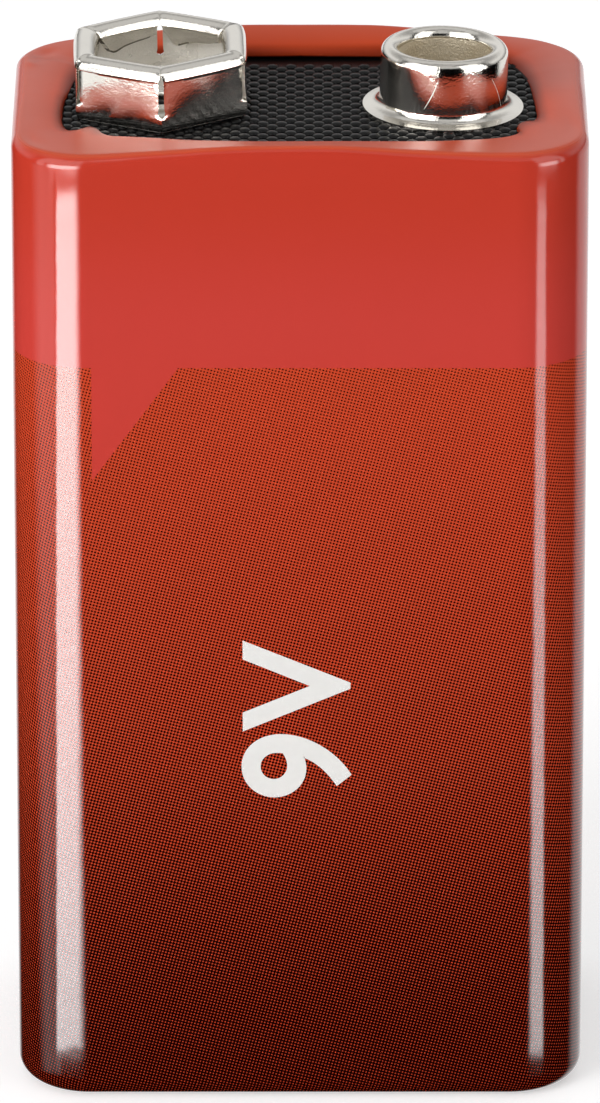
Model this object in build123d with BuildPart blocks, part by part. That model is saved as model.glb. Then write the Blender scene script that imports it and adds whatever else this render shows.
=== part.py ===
from build123d import *
from math import cos, radians, sin, tan
import os

# A nine volt block battery: six sealed round cells in a steel jacket, under a printed
# plastic sleeve, with a pressed stud (plus) and a six-petal socket (minus) on top.
# Millimetres. The origin is the middle of the underside, +X runs towards the stud,
# +Y away from the printed front, and +Z up.

# Cells, in two rows of three
cell_diameter = 7.9
cell_length = 41.0
cell_gap = 0.1
side_clearance = 0.03
end_clearance = 0.33
cell_edge_radius = 0.5
cell_boss_diameter = 3.6
cell_boss_height = 0.25
cell_cap_diameter = 4.2
cell_crimp_width = 0.7
cell_crimp_drop = 0.1
cell_crimp_radius = 0.25
cell_seal_depth = 0.35
cell_bead_depth = 0.2
cell_bead_width = 1.0
cell_bead_height = 3.2

# Walls, from the inside out
liner_thickness = 0.15
jacket_thickness = 0.25
film_thickness = 0.12

# Stack between the cells and the two ends
strip_thickness = 0.15
top_card_thickness = 0.3
bottom_card_thickness = 0.18
top_board_thickness = 1.0
bottom_board_thickness = 1.0
board_clearance = 0.05
board_skirt_width = 0.8
card_clearance = 0.2
board_recess = 1.0

# Rolled rims of the jacket, with the inside radius of each bend
corner_radius = 3.3
foot_bend = 0.68
shoulder_bend = 0.13
nose_bend = 0.06
lip_width = 2.3
lip_slope = 15.0
jacket_foot_width = 1.9
film_foot_width = 2.4

# Snap terminals
terminal_clearance = 0.275
terminal_height = 3.05
terminal_sheet = 0.2
base_bend = 0.15
stud_diameter = 5.7
stud_lip_width = 0.72
stud_lip_height = 0.5
stud_base_bend = 0.42
stud_flange_width = 0.74
socket_across = 7.75
socket_bead_radius = 0.46
socket_curl = 250.0
socket_slit_width = 0.28
socket_slit_eye = 0.46
socket_slit_floor = 0.5

# Hollow rivets that hold the terminals and the lead strips to the top board
rivet_diameter = 2.1
rivet_wall = 0.2
rivet_bend = 0.04
rivet_head_clearance = 0.28
rivet_tail_diameter = 3.2
rivet_fit = 0.05
tail_clearance = 0.3

# Nickel strips
lead_width = 3.6
lead_clearance = 0.88
lead_pad = 1.8
lead_bend = 0.1
lead_slot_clearance = 0.2
link_width = 3.4
weld_slit_width = 0.3
weld_slit_length = 1.6

# Plan sizes that follow from the cells and the walls
wall = liner_thickness + jacket_thickness + film_thickness
row_pitch = cell_diameter + cell_gap
cells_length = 3 * cell_diameter + 2 * cell_gap
cells_width = 2 * cell_diameter + cell_gap
body_length = cells_length + 2 * (end_clearance + wall)
body_width = cells_width + 2 * (side_clearance + wall)
skin = jacket_thickness + film_thickness

# Heights that follow from the stack
bottom_board_z = skin
bottom_card_z = bottom_board_z + bottom_board_thickness
bottom_strip_z = bottom_card_z + bottom_card_thickness
cell_z = bottom_strip_z + strip_thickness
cell_top_z = cell_z + cell_length
top_card_z = cell_top_z + strip_thickness
board_skirt_depth = strip_thickness + rivet_wall + tail_clearance
top_board_z = top_card_z + top_card_thickness + board_skirt_depth
board_top_z = top_board_z + top_board_thickness
rim_z = board_top_z + board_recess

# Terminal places, as far apart as the lips of the rim leave room for the socket
terminal_pitch = body_length - 2 * (lip_width + terminal_clearance) - socket_across
stud_x = terminal_pitch / 2
socket_x = -terminal_pitch / 2

# Outer face of a lead strip, clear of the skirt of the top board
lead_reach = body_width / 2 - skin - board_clearance - board_skirt_width - lead_clearance


def plan(inset, mode=Mode.ADD):
    """Rounded rectangle of the body, set in from the printed face by inset."""
    length = body_length - 2 * inset
    width = body_width - 2 * inset
    return RectangleRounded(length, width, corner_radius - inset, mode=mode)


def upright(x, z):
    """Plane of a profile that stands on the board at one terminal, facing the front."""
    return Plane(origin=(x, 0, z), x_dir=(1, 0, 0), z_dir=(0, -1, 0))


# Section of the rolled can, the same for the film and the jacket under it.
foot_radius = foot_bend + skin
shoulder_radius = shoulder_bend + skin
nose_radius = nose_bend + skin
lip_rise = tan(radians(lip_slope))
lip_stretch = 1 / cos(radians(lip_slope))
apex_z = rim_z + shoulder_radius * (lip_rise + lip_stretch - 1)
side_x = body_length / 2


def can_outline(inset, foot_width):
    """Line from under the foot, up the side and over the lip down to the board."""
    lip_x = side_x - lip_width + inset
    corners = [
        (side_x - foot_width, inset),
        (side_x - inset, inset),
        (side_x - inset, apex_z - inset * (lip_rise + lip_stretch)),
        (lip_x, apex_z - (side_x - lip_x) * lip_rise - inset * lip_stretch),
        (lip_x, board_top_z),
    ]
    bends = [foot_radius - inset, shoulder_radius - inset, nose_radius - inset]
    return FilletPolyline(*corners, radius=bends)


with BuildSketch() as can_path:
    plan(0)

# Printed film sleeve, shrunk over both rims of the jacket.
with BuildSketch(Plane.XZ) as film_section:
    with BuildLine():
        film_face = can_outline(0, film_foot_width)
        film_back = can_outline(film_thickness, film_foot_width)
        Line(film_face @ 0, film_back @ 0)
        Line(film_face @ 1, film_back @ 1)
    make_face()

with BuildPart() as sleeve:
    sweep(sections=film_section.sketch, path=can_path.wire())
sleeve.part.label = "sleeve"

# Steel jacket, with its rims crimped over the two boards.
with BuildSketch(Plane.XZ) as jacket_section:
    with BuildLine():
        jacket_face = can_outline(film_thickness, jacket_foot_width)
        jacket_back = can_outline(skin, jacket_foot_width)
        Line(jacket_face @ 0, jacket_back @ 0)
        Line(jacket_face @ 1, jacket_back @ 1)
    make_face()

with BuildPart() as jacket:
    sweep(sections=jacket_section.sketch, path=can_path.wire())
jacket.part.label = "jacket"

# Top board, a moulded plate whose skirt stands on the card over the cells.
with BuildPart() as top_board:
    with BuildSketch(Plane.XY.offset(top_board_z - board_skirt_depth)):
        plan(skin + board_clearance)
    extrude(amount=board_skirt_depth + top_board_thickness)
    with BuildSketch(Plane.XY.offset(top_board_z)):
        plan(skin + board_clearance + board_skirt_width)
    extrude(amount=-board_skirt_depth, mode=Mode.SUBTRACT)
    with Locations((stud_x, 0, board_top_z), (socket_x, 0, board_top_z)):
        Hole(radius=rivet_diameter / 2 + rivet_fit)
top_board.part.label = "top_board"

# Bottom board, rounded underneath to sit in the bend of the jacket.
with BuildPart() as bottom_board:
    with BuildSketch(Plane.XY.offset(bottom_board_z)):
        plan(skin + board_clearance)
    extrude(amount=bottom_board_thickness)
    fillet(bottom_board.faces().sort_by(Axis.Z)[0].edges(), radius=foot_bend)
bottom_board.part.label = "bottom_board"

# Plus stud, one pressed cup: a floor, an inner wall, a rolled lip and an outer wall
# that flares into the flange.
stud_radius = stud_diameter / 2
stud_bore = stud_radius - stud_lip_width
rivet_hole = rivet_diameter / 2 + rivet_fit
fold_z = terminal_height - stud_lip_height


def stud_outline(inset):
    """Line over the visible face of the stud, set into the metal by inset."""
    outer = FilletPolyline(
        (stud_radius + stud_flange_width, terminal_sheet - inset),
        (stud_radius - inset, terminal_sheet - inset),
        (stud_radius - inset, fold_z),
        radius=[stud_base_bend + inset],
    )
    fold = EllipticalCenterArc(
        (stud_radius - stud_lip_width / 2, fold_z),
        x_radius=stud_lip_width / 2 - inset,
        y_radius=stud_lip_height - inset,
        start_angle=0,
        arc_size=180,
    )
    inner = FilletPolyline(
        (stud_bore + inset, fold_z),
        (stud_bore + inset, terminal_sheet - inset),
        (rivet_hole, terminal_sheet - inset),
        radius=[base_bend + inset],
    )
    return outer, fold, inner


with BuildPart() as positive_terminal:
    with BuildSketch(upright(stud_x, board_top_z)):
        with BuildLine():
            stud_face = stud_outline(0)
            stud_back = stud_outline(terminal_sheet)
            Line(stud_face[0] @ 0, stud_back[0] @ 0)
            Line(stud_face[2] @ 1, stud_back[2] @ 1)
        make_face()
    revolve(axis=Axis((stud_x, 0, 0), (0, 0, 1)))
positive_terminal.part.label = "positive_terminal"

# Minus socket: a six-sided floor whose sides stand up and curl inwards in a bead.
# Slits along the corners part the sides into six springy petals.
socket_side = socket_across / 2
bead_x = socket_side - socket_bead_radius
bead_z = terminal_height - socket_bead_radius
socket_turn = 360 / 6
socket_corner = socket_side / cos(radians(socket_turn / 2))
floor_side = socket_side - 2 * (base_bend + terminal_sheet)
slit_eye_z = terminal_sheet + socket_slit_floor + socket_slit_eye / 2


def petal_outline(inset):
    """Line from the floor up the outside of a petal and round its bead."""
    side = FilletPolyline(
        (floor_side, inset),
        (socket_side - inset, inset),
        (socket_side - inset, bead_z),
        radius=[base_bend + terminal_sheet - inset],
    )
    bead = CenterArc((bead_x, bead_z), socket_bead_radius - inset, 0, socket_curl)
    return side, bead


with BuildSketch(upright(socket_x, board_top_z)) as petal_section:
    with BuildLine():
        petal_face = petal_outline(0)
        petal_back = petal_outline(terminal_sheet)
        Line(petal_face[0] @ 0, petal_back[0] @ 0)
        Line(petal_face[1] @ 1, petal_back[1] @ 1)
    make_face()

corner_angles = [socket_turn * (corner + 0.5) for corner in range(6)]
socket_plane = Plane(origin=(socket_x, 0, board_top_z))
corner_rays = [(cos(radians(angle)), sin(radians(angle))) for angle in corner_angles]
slit_planes = [
    Plane(
        origin=(socket_x + floor_side * ray_x, floor_side * ray_y, board_top_z),
        x_dir=(-ray_y, ray_x, 0),
        z_dir=(ray_x, ray_y, 0),
    )
    for ray_x, ray_y in corner_rays
]

with BuildPart() as negative_terminal:
    with BuildLine(socket_plane) as socket_path:
        ring = [(socket_corner * ray_x, socket_corner * ray_y) for ray_x, ray_y in corner_rays]
        Polyline((socket_side, 0), *ring, (socket_side, 0))
    sweep(sections=petal_section.sketch, path=socket_path.wire(), transition=Transition.RIGHT)
    with BuildSketch(socket_plane):
        RegularPolygon(
            radius=floor_side + terminal_sheet,
            side_count=6,
            major_radius=False,
            rotation=socket_turn / 2,
        )
        Circle(radius=rivet_hole, mode=Mode.SUBTRACT)
    extrude(amount=terminal_sheet)
    with BuildSketch(*slit_planes):
        with Locations((0, slit_eye_z + terminal_height / 2)):
            Rectangle(socket_slit_width, terminal_height)
        with Locations((0, slit_eye_z)):
            Circle(radius=socket_slit_eye / 2)
    extrude(amount=socket_corner - floor_side + terminal_sheet, mode=Mode.SUBTRACT)
negative_terminal.part.label = "negative_terminal"


# The head lies flat on the floor of the stud's bore, clear of the bend round it.
rivet_head_radius = stud_bore - base_bend - rivet_head_clearance


def rivet_outline(inset):
    """Line down the barrel of a hollow rivet, from its head to its tail."""
    barrel = rivet_diameter / 2 - inset
    head_z = terminal_sheet + inset
    tail_z = -top_board_thickness - strip_thickness - inset
    return FilletPolyline(
        (rivet_head_radius, head_z),
        (barrel, head_z),
        (barrel, tail_z),
        (rivet_tail_diameter / 2, tail_z),
        radius=[rivet_bend + inset, rivet_bend + inset],
    )


# One hollow rivet under each terminal.
rivets = []
for label, place_x in (("positive_rivet", stud_x), ("negative_rivet", socket_x)):
    with BuildPart() as rivet:
        with BuildSketch(upright(place_x, board_top_z)):
            with BuildLine():
                rivet_face = rivet_outline(0)
                rivet_back = rivet_outline(rivet_wall)
                Line(rivet_face @ 0, rivet_back @ 0)
                Line(rivet_face @ 1, rivet_back @ 1)
            make_face()
        revolve(axis=Axis((place_x, 0, 0), (0, 0, 1)))
    rivet.part.label = label
    rivets.append(rivet)


def lead_outline(inset):
    """Line of a lead strip: under the board, down through the card, back over a cell."""
    reach = lead_reach - inset
    return FilletPolyline(
        (-lead_pad, top_board_z - inset),
        (reach, top_board_z - inset),
        (reach, cell_top_z + inset),
        (row_pitch / 2 - lead_pad, cell_top_z + inset),
        radius=[lead_bend + strip_thickness - inset] * 2,
    )


# Two folded lead strips, from the rivets to the first and the last cell.
leads = []
for label, place_x, side in (("positive_lead", stud_x, 1), ("negative_lead", socket_x, -1)):
    lead_plane = Plane(origin=(place_x, 0, 0), x_dir=(0, -side, 0), z_dir=(-side, 0, 0))
    with BuildPart() as lead:
        with BuildSketch(lead_plane):
            with BuildLine():
                lead_face = lead_outline(0)
                lead_back = lead_outline(strip_thickness)
                Line(lead_face @ 0, lead_back @ 0)
                Line(lead_face @ 1, lead_back @ 1)
            make_face()
        extrude(amount=lead_width / 2, both=True)
        with Locations((place_x, 0, top_board_z)):
            Hole(radius=rivet_hole, depth=2 * strip_thickness)
    lead.part.label = label
    leads.append(lead)

# Insulating cards, the upper one slotted for the two leads.
with BuildPart() as top_card:
    with BuildSketch(Plane.XY.offset(top_card_z)):
        plan(skin + card_clearance)
        slot_y = lead_reach - strip_thickness / 2
        with Locations((stud_x, -slot_y), (socket_x, slot_y)):
            Rectangle(
                lead_width + 2 * lead_slot_clearance,
                strip_thickness + 2 * lead_slot_clearance,
                mode=Mode.SUBTRACT,
            )
    extrude(amount=top_card_thickness)
top_card.part.label = "top_card"

with BuildPart() as bottom_card:
    with BuildSketch(Plane.XY.offset(bottom_card_z)):
        plan(skin + card_clearance)
    extrude(amount=bottom_card_thickness)
bottom_card.part.label = "bottom_card"

# Paper wrap between the cells and the jacket.
with BuildPart() as cell_liner:
    with BuildSketch(Plane.XY.offset(bottom_strip_z)):
        plan(skin)
        plan(wall, mode=Mode.SUBTRACT)
    extrude(amount=top_card_z - bottom_strip_z)
cell_liner.part.label = "cell_liner"

# One sealed round cell, standing on its minus cap: cap, seal ring, crimped edge, bead,
# can and plus boss.
cell_radius = cell_diameter / 2
crimp_inside = cell_radius - cell_crimp_width
shoulder_z = cell_length - cell_boss_height
bead_low = (cell_radius, cell_bead_height - cell_bead_width / 2)
bead_middle = (cell_radius - cell_bead_depth, cell_bead_height)
bead_high = (cell_radius, cell_bead_height + cell_bead_width / 2)

with BuildPart() as cell:
    with BuildSketch(Plane.XZ):
        with BuildLine():
            foot = FilletPolyline(
                (0, 0),
                (cell_cap_diameter / 2, 0),
                (cell_cap_diameter / 2, cell_seal_depth),
                (crimp_inside, cell_seal_depth),
                (crimp_inside, cell_crimp_drop),
                (cell_radius, cell_crimp_drop),
                bead_low,
                radius=[0, 0, 0, cell_crimp_radius / 2, cell_crimp_radius],
            )
            ThreePointArc(bead_low, bead_middle, bead_high)
            head = FilletPolyline(
                bead_high,
                (cell_radius, shoulder_z),
                (cell_boss_diameter / 2, shoulder_z),
                (cell_boss_diameter / 2, cell_length),
                (0, cell_length),
                radius=[cell_edge_radius, 0, 0],
            )
            Line(head @ 1, foot @ 0)
        make_face()
    revolve(axis=Axis.Z)

# The series path zigzags through the block, every second cell standing on its head.
cell_places = [(1, -1), (1, 1), (0, 1), (0, -1), (-1, -1), (-1, 1)]
cells = []
for number, (column, row) in enumerate(cell_places, start=1):
    upside_down = number % 2 == 0
    foot_z = cell_top_z if upside_down else cell_z
    place = Location(
        (column * row_pitch, row * row_pitch / 2, foot_z), (180 if upside_down else 0, 0, 0)
    )
    with BuildPart() as placed_cell:
        with Locations(place):
            add(cell.part)
    placed_cell.part.label = f"cell_{number}"
    cells.append(placed_cell)

# Nickel links weld each cell to the next: odd cells to even ones below, even to odd above.
links = []
for number in range(1, len(cell_places)):
    column, row = cell_places[number - 1]
    next_column, next_row = cell_places[number]
    below = number % 2 == 1
    along_y = column == next_column
    link_plane = Plane(
        origin=(
            (column + next_column) * row_pitch / 2,
            (row + next_row) * row_pitch / 4,
            bottom_strip_z if below else cell_top_z,
        ),
        x_dir=(0, 1, 0) if along_y else (1, 0, 0),
        z_dir=(0, 0, 1),
    )
    with BuildPart() as link:
        with BuildSketch(link_plane):
            SlotCenterToCenter(row_pitch, link_width)
            with Locations((-row_pitch / 2, 0), (row_pitch / 2, 0)):
                SlotOverall(weld_slit_length, weld_slit_width, mode=Mode.SUBTRACT)
        extrude(amount=strip_thickness)
    link.part.label = f"{'bottom' if below else 'top'}_link_{number}_{number + 1}"
    links.append(link)

# Write each piece to its own file.
pieces = [sleeve, jacket, top_board, bottom_board, positive_terminal, negative_terminal]
pieces += [*rivets, *leads, top_card, bottom_card, cell_liner, *cells, *links]
os.makedirs("parts", exist_ok=True)
for piece in pieces:
    export_step(piece.part, f"parts/{piece.part.label}.step")
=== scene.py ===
import math

import bpy
import numpy as np
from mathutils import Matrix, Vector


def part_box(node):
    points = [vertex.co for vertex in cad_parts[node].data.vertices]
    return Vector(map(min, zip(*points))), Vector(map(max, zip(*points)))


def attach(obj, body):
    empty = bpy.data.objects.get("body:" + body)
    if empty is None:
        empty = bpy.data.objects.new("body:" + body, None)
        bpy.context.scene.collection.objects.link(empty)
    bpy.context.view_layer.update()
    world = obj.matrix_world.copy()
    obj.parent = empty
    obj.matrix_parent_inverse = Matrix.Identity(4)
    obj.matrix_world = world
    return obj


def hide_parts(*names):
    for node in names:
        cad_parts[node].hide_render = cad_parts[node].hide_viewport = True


# Looks of a nine volt block battery: printed shrink film over a rolled steel jacket, a
# grained black board, and two bright nickel snap terminals. Lengths are in millimetres
# until they go into a mesh, and heights count from the underside.
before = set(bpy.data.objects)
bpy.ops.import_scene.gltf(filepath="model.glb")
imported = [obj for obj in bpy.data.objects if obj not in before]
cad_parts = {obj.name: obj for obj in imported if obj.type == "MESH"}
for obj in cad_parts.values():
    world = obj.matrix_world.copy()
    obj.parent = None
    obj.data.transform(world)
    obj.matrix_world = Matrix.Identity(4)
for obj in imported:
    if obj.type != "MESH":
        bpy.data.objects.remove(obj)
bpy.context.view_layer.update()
MM = 0.001
ROOT = "root"


def corners_mm(node):
    """Lowest and highest corner of a node, in millimetres."""
    low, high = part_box(node)
    return np.array(low) / MM, np.array(high) / MM


def add_object(name, data):
    """A new object with this data, linked into the scene."""
    item = bpy.data.objects.new(name, data)
    bpy.context.collection.objects.link(item)
    return item


# Sizes read from the frame
sleeve_high = corners_mm("sleeve")[1]
HALF_LENGTH = float(sleeve_high[0])
HALF_WIDTH = float(sleeve_high[1])
RIM_Z = float(sleeve_high[2])
BOARD_Z = float(corners_mm("top_board")[1][2])
stud_low, stud_high = corners_mm("positive_terminal")
socket_low, socket_high = corners_mm("negative_terminal")
STUD_X = float(stud_low[0] + stud_high[0]) / 2
SOCKET_X = float(socket_low[0] + socket_high[0]) / 2
TERMINAL_HEIGHT = float(stud_high[2]) - BOARD_Z

# Camera, as the photograph was taken: its distance, height angle and focal length
PHOTO_WIDTH, PHOTO_HEIGHT = 600, 1103
FOCAL_PIXELS = 11395.0
SENSOR = 36.0
CAMERA_DISTANCE = 517.0
CAMERA_ELEVATION = 21.33
AIM_Z = 23.4

camera_data = bpy.data.cameras.new("camera")
camera_data.sensor_width = SENSOR
camera_data.lens = FOCAL_PIXELS * SENSOR / max(PHOTO_WIDTH, PHOTO_HEIGHT)
camera_data.clip_start = 0.01
camera = add_object("camera", camera_data)
slope = math.radians(CAMERA_ELEVATION)
camera.location = (
    0, -CAMERA_DISTANCE * math.cos(slope) * MM, (AIM_Z + CAMERA_DISTANCE * math.sin(slope)) * MM
)
camera.rotation_euler = (math.pi / 2 - slope, 0, 0)
bpy.context.scene.camera = camera
bpy.context.scene.view_settings.view_transform = "Standard"


# Materials


def linear(colour):
    """An sRGB hex colour as linear red, green, blue and alpha."""
    channels = [int(colour[i : i + 2], 16) / 255 for i in (1, 3, 5)]
    return [c / 12.92 if c <= 0.04045 else ((c + 0.055) / 1.055) ** 2.4 for c in channels] + [1.0]


# The kinds of node that come up most, and a soft step from one level to another
MATH = "ShaderNodeMath"
MIX = "ShaderNodeMix"
MAP_RANGE = "ShaderNodeMapRange"
AXES = "ShaderNodeSeparateXYZ"
SOFT = {"interpolation_type": "SMOOTHSTEP"}


def add_node(tree, kind, inputs=None, **settings):
    """Adds a node with its settings, and gives each named input a value or a link. A node
    given as a value stands for its first output."""
    node = tree.nodes.new(kind)
    for name, value in settings.items():
        setattr(node, name, value)
    for key, value in (inputs or {}).items():
        if isinstance(value, bpy.types.Node):
            value = value.outputs[0]
        if isinstance(value, bpy.types.NodeSocket):
            tree.links.new(value, node.inputs[key])
        else:
            node.inputs[key].default_value = value
    return node


def set_stops(ramp, stops):
    """Gives a colour ramp its grey stops, each with its place and its level."""
    elements = ramp.color_ramp.elements
    while len(elements) < len(stops):
        elements.new(0.5)
    for element, (at, level) in zip(elements, stops):
        element.position = at
        element.color = (level, level, level, 1)


def blank_material(name):
    """A new material and its empty tree."""
    material = bpy.data.materials.new(name)
    material.use_nodes = True
    material.node_tree.nodes.clear()
    return material, material.node_tree


def surface(name, **values):
    """A new material with one Principled shader, and the tree and shader to go on from."""
    material, tree = blank_material(name)
    shader = add_node(tree, "ShaderNodeBsdfPrincipled", values)
    add_node(tree, "ShaderNodeOutputMaterial", {"Surface": shader})
    return material, tree, shader


def roughen(tree, shader, size_mm, detail, strength, depth_mm):
    """Gives the shader a bump of soft noise that stays with the object, and returns the
    noise."""
    inside = add_node(tree, "ShaderNodeTexCoord")
    noise = add_node(
        tree,
        "ShaderNodeTexNoise",
        {"Vector": inside.outputs["Object"], "Scale": 1 / (size_mm * MM), "Detail": detail},
    )
    bump = add_node(
        tree, "ShaderNodeBump", {"Height": noise, "Strength": strength, "Distance": depth_mm * MM}
    )
    tree.links.new(bump.outputs[0], shader.inputs["Normal"])
    return noise


# Print on the film, and the painted light and shade on its lip, measured on the unrolled sleeve:
# across from the middle of the front, and up from the underside.
RED_INK_TOP = "#C63C2B"
RED_INK_LOW = "#CE4239"
# The lip's red is painted light: deeper and brighter, for the light on the top and the red that the
# lips reflect on each other.
RED_LIP_PAINTED_LIGHT = "#D44819"
# The hem's dark red is painted shade, where the film turns down to the board.
RED_HEM_PAINTED_SHADE = "#86290E"
# The near black of the film's cut edge at the board is painted shadow.
EDGE_PAINTED_SHADOW = "#070202"
TINT_INK = "#D2482A"
DARK_INK = "#1C0000"
RED_LOW_Z = 37.0
RED_TOP_Z = 44.0
FILM_ROUGHNESS = 0.1
LIP_ROUGHNESS = 0.3
FILM_SPECULAR = 0.5
EDGE_SPECULAR = 0.05
SCREEN_PITCH = 0.145
SCREEN_ANGLE = 15.2
TINT_TOP_Z = 35.44
TONGUE_LEFT = -9.25
TONGUE_TIP_Z = 30.1
TONGUE_RIGHT = -5.4
UV_UNIT = 100.0

# Share of dark ink in the tint, from the foot at 0 to the top of the tint at 1
DARK_SHARES = [(0.0, 0.86), (0.09, 0.83), (0.21, 0.75), (0.48, 0.55), (0.75, 0.41), (1.0, 0.29)]
# A dark dot is where the summed waves pass a level, which runs from DOT_REACH for no dark
# ink to its negative for dark ink alone. DOT_SOFTNESS is half the dot's soft edge.
DOT_REACH = 1.9
DOT_SOFTNESS = 1.0

# The point attribute "hem" of the sleeve runs from 0 to 1 where the lip turns down to the board,
# and there brings painted shade. It takes a higher mark on the cut edge of the film, which is
# painted black as shadow.
HEM_DARKENS = 0.6
SHADOW_EDGE_MARK = 2.0
SHADOW_EDGE_FADE = (1.2, 1.8)

# Faint waviness of shrunk film, which breaks the edges of long highlights: its size in
# millimetres, detail, strength and depth in millimetres
FILM_WAVES = (2.0, 1.5, 0.05, 0.3)


def printed_film():
    """Gravure printed shrink film: flat red above a screened dark tint, under clear gloss."""
    material, tree, shader = surface("printed_shrink_film", IOR=1.5, Roughness=FILM_ROUGHNESS)
    place = add_node(tree, "ShaderNodeUVMap", uv_map="print")
    across_up = add_node(
        tree, "ShaderNodeVectorMath", {0: place, 1: (UV_UNIT,) * 3}, operation="MULTIPLY"
    )
    axes = add_node(tree, AXES, {0: across_up})
    across, height = axes.outputs[0], axes.outputs[1]

    # The red is a little pinker low down than at the rim. On the lip, where the film is gathered,
    # its gloss is duller, and its red is deeper and brighter: painted light, for the light on the
    # top and the red that the lips reflect on each other. Where the film turns down to the board
    # its red darkens as painted shade, and its cut edge at the board is painted black as shadow.
    low_share = add_node(
        tree, MAP_RANGE, {"Value": height, "From Min": RED_TOP_Z, "From Max": RED_LOW_Z}, **SOFT
    )
    lip = add_node(tree, "ShaderNodeAttribute", attribute_name="lip").outputs["Fac"]
    hem = add_node(tree, "ShaderNodeAttribute", attribute_name="hem").outputs["Fac"]
    turned_down = add_node(tree, MAP_RANGE, {"Value": hem, "From Min": HEM_DARKENS}, **SOFT)
    edge_shadow = add_node(
        tree, MAP_RANGE, {"Value": hem, "From Min": SHADOW_EDGE_FADE[0], "From Max": SHADOW_EDGE_FADE[1]}
    )
    layers = [
        (low_share, RED_INK_LOW), (lip, RED_LIP_PAINTED_LIGHT), (turned_down, RED_HEM_PAINTED_SHADE), (edge_shadow, EDGE_PAINTED_SHADOW)
    ]
    red = linear(RED_INK_TOP)
    for share, ink in layers:
        blend = {0: share, 6: red, 7: linear(ink)}
        red = add_node(tree, MIX, blend, data_type="RGBA").outputs[2]
    matt = add_node(
        tree, MAP_RANGE, {"Value": hem, "To Min": FILM_SPECULAR, "To Max": EDGE_SPECULAR}
    )
    tree.links.new(matt.outputs[0], shader.inputs["Specular IOR Level"])
    dulled = add_node(
        tree,
        MAP_RANGE,
        {"Value": lip, "To Min": FILM_ROUGHNESS, "To Max": LIP_ROUGHNESS},
        clamp=False,
    )
    tree.links.new(dulled.outputs[0], shader.inputs["Roughness"])

    # Square screen of round dots: the sum of two waves across the turned axes
    turned = add_node(
        tree,
        "ShaderNodeMapping",
        {
            "Vector": across_up,
            "Rotation": (0, 0, math.radians(SCREEN_ANGLE)),
            "Scale": (2 * math.pi / SCREEN_PITCH,) * 3,
        },
    )
    waves = add_node(tree, AXES, {0: turned})
    wave_one = add_node(tree, MATH, {0: waves.outputs[0]}, operation="COSINE")
    wave_two = add_node(tree, MATH, {0: waves.outputs[1]}, operation="COSINE")
    spot = add_node(tree, MATH, {0: wave_one, 1: wave_two}, operation="ADD")

    # Share of dark ink by height, and from it the size of the dots
    depth = add_node(tree, MAP_RANGE, {"Value": height, "From Max": TINT_TOP_Z})
    share = add_node(tree, "ShaderNodeValToRGB", {0: depth})
    set_stops(share, DARK_SHARES)
    threshold = add_node(
        tree, MAP_RANGE, {"Value": share, "To Min": DOT_REACH, "To Max": -DOT_REACH}
    )
    above = add_node(tree, MATH, {0: spot, 1: threshold}, operation="SUBTRACT")
    dot = add_node(
        tree,
        MAP_RANGE,
        {"Value": above, "From Min": -DOT_SOFTNESS, "From Max": DOT_SOFTNESS},
        **SOFT,
    )
    inks = {0: dot, 6: linear(TINT_INK), 7: linear(DARK_INK)}
    tint = add_node(tree, MIX, inks, data_type="RGBA")

    # Where the tint lies: below its top edge, and not in the red tongue on the left
    under_top = add_node(tree, MATH, {0: height, 1: TINT_TOP_Z}, operation="LESS_THAN")
    from_left = add_node(tree, MATH, {0: across, 1: TONGUE_LEFT}, operation="SUBTRACT")
    right_of_left = add_node(tree, MATH, {0: from_left, 1: 0.0}, operation="GREATER_THAN")
    tongue_slope = (TINT_TOP_Z - TONGUE_TIP_Z) / (TONGUE_RIGHT - TONGUE_LEFT)
    tongue_edge = {0: from_left, 1: tongue_slope, 2: TONGUE_TIP_Z}
    edge_height = add_node(tree, MATH, tongue_edge, operation="MULTIPLY_ADD")
    over_edge = add_node(tree, MATH, {0: height, 1: edge_height}, operation="GREATER_THAN")
    in_tongue = add_node(tree, MATH, {0: right_of_left, 1: over_edge}, operation="MULTIPLY")
    tinted = add_node(
        tree, MATH, {0: under_top, 1: in_tongue}, operation="SUBTRACT", use_clamp=True
    )
    fields = {0: tinted, 6: red, 7: tint.outputs[2]}
    print_colour = add_node(tree, MIX, fields, data_type="RGBA")
    tree.links.new(print_colour.outputs[2], shader.inputs["Base Color"])

    roughen(tree, shader, *FILM_WAVES)
    return material


# Patches of wear on plated metal: their size, the levels of the noise between which they
# lie, and the roughness in and out of them as shares of the mean one
WEAR_MM = 1.5
WEAR_LEVELS = (0.35, 0.75)
WEAR_SHARES = (0.7, 1.6)
WEAR_DETAIL = 3.0
PLATE_GRAIN_DETAIL = 2.0
PLATE_GRAIN_DEPTH = 0.05
PATCH_DETAIL = 4.0
PATCH_STRENGTH = 0.6


def bright_nickel(name, colour, roughness, grain_mm, grain_depth, metallic=1.0):
    """Bright nickel plate on pressed steel: mirror-like, slightly warm, with a fine grain that
    speckles the reflections. A lower metallic, with a lighter colour inside the socket, makes the
    plate inside the socket and the stud's bore lighter and less mirror-like: painted light."""
    values = {"Base Color": linear(colour), "Metallic": metallic, "Roughness": roughness}
    material, tree, shader = surface(name, **values)
    roughen(tree, shader, grain_mm, PLATE_GRAIN_DETAIL, grain_depth, PLATE_GRAIN_DEPTH)
    inside = add_node(tree, "ShaderNodeTexCoord")
    cloud = add_node(
        tree,
        "ShaderNodeTexNoise",
        {"Vector": inside.outputs["Object"], "Scale": 1 / (WEAR_MM * MM), "Detail": WEAR_DETAIL},
    )
    worn = add_node(
        tree,
        MAP_RANGE,
        {
            "Value": cloud,
            "From Min": WEAR_LEVELS[0],
            "From Max": WEAR_LEVELS[1],
            "To Min": roughness * WEAR_SHARES[0],
            "To Max": roughness * WEAR_SHARES[1],
        },
    )
    tree.links.new(worn.outputs[0], shader.inputs["Roughness"])
    return material


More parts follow.
